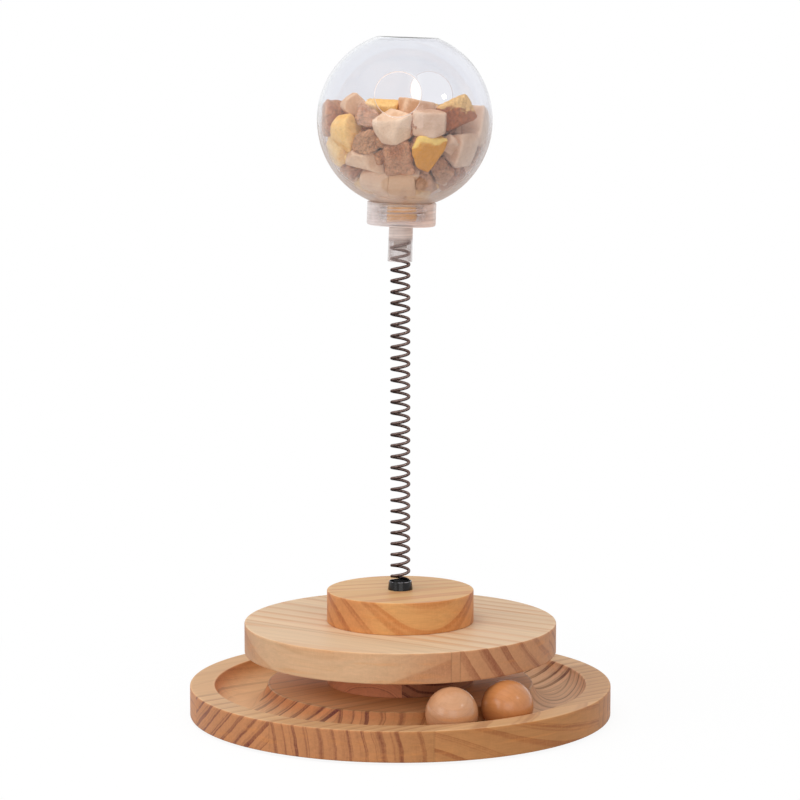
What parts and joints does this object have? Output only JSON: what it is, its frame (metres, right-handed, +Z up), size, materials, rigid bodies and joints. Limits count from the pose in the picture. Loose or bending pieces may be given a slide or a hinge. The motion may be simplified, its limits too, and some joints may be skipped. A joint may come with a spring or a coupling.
{
  "type": "cat treat ball on spring and ball track",
  "caption": "Free-standing wooden cat toy: a round tray with a ball track, and a clear treat-dispensing ball that unscrews from a cap on a tall wobbling spring.",
  "frame": {"origin": "on the floor, under the middle of the round tray", "axes": "+Z up along the spring; the two track balls lie towards -Y, the front"},
  "size_m": [0.25, 0.25, 0.4014],
  "materials": {
    "pine": "bare sanded pine",
    "ball_wood": "bare sanded wood",
    "pad": "non-slip foam rubber",
    "zinc_steel": "zinc plated",
    "spring_steel": "dark oiled spring wire",
    "black_plastic": "black moulded",
    "frosted_plastic": "frosted translucent",
    "clear_plastic": "clear",
    "seal_rubber": "soft",
    "treat_cream": "dry and matte",
    "treat_yellow": "dry and matte",
    "treat_brown": "dry, matte and fibrous"
  },
  "bodies": {
    "base": {"foot_pads": "pad", "base_tray": "pine", "lower_hub": "pine", "upper_disc": "pine", "top_hub": "pine", "central_bolt": "zinc_steel", "bolt_washer": "zinc_steel", "spring_cup": "black_plastic", "cup_nut": "zinc_steel"},
    "ball_1": {"track_ball_1": "ball_wood"},
    "ball_2": {"track_ball_2": "ball_wood"},
    "spring": {"spring": "spring_steel"},
    "head": {"spring_sleeve": "frosted_plastic", "sleeve_plug": "frosted_plastic", "sleeve_screw": "zinc_steel", "sleeve_washer": "zinc_steel", "cap": "frosted_plastic"},
    "seal": {"neck_seal": "seal_rubber"},
    "jar": {"treat_ball": "clear_plastic", "treats_cream": "treat_cream", "treats_yellow": "treat_yellow", "treats_brown": "treat_brown"}
  },
  "joints": [
    {"name": "ball_1_roll", "type": "hinge", "parent": "base", "child": "ball_1", "pos_m": [0, 0, 0.0215], "axis": [0, 0, 1], "continuous": true},
    {"name": "ball_2_roll", "type": "hinge", "parent": "ball_1", "child": "ball_2", "pos_m": [0, 0, 0.0215], "axis": [0, 0, 1], "range_deg": [-3.9, 319]},
    {"name": "spring_twist", "type": "hinge", "parent": "base", "child": "spring", "pos_m": [0, 0, 0.0809], "axis": [0, 0, 1], "range_deg": [-120, 120], "stiffness_Nm_per_rad": 0.11},
    {"name": "head_sway", "type": "hinge", "parent": "spring", "child": "head", "pos_m": [0, 0, 0.1439], "axis": [0, 1, 0], "range_deg": [-60, 60], "stiffness_Nm_per_rad": 0.5, "deforming": ["spring"]},
    {"name": "jar_lift", "type": "slide", "parent": "head", "child": "seal", "axis": [0.0349, 0, 0.9994], "range_m": [0, 0.00675]},
    {"name": "jar_turn", "type": "hinge", "parent": "seal", "child": "jar", "pos_m": [0, 0, 0.278], "axis": [0.0349, 0, 0.9994], "range_deg": [0, 541]}
  ],
  "couplings": [
    {"joint": "jar_turn", "follows": "jar_lift", "rad_per_m": 1396.3}
  ]
}
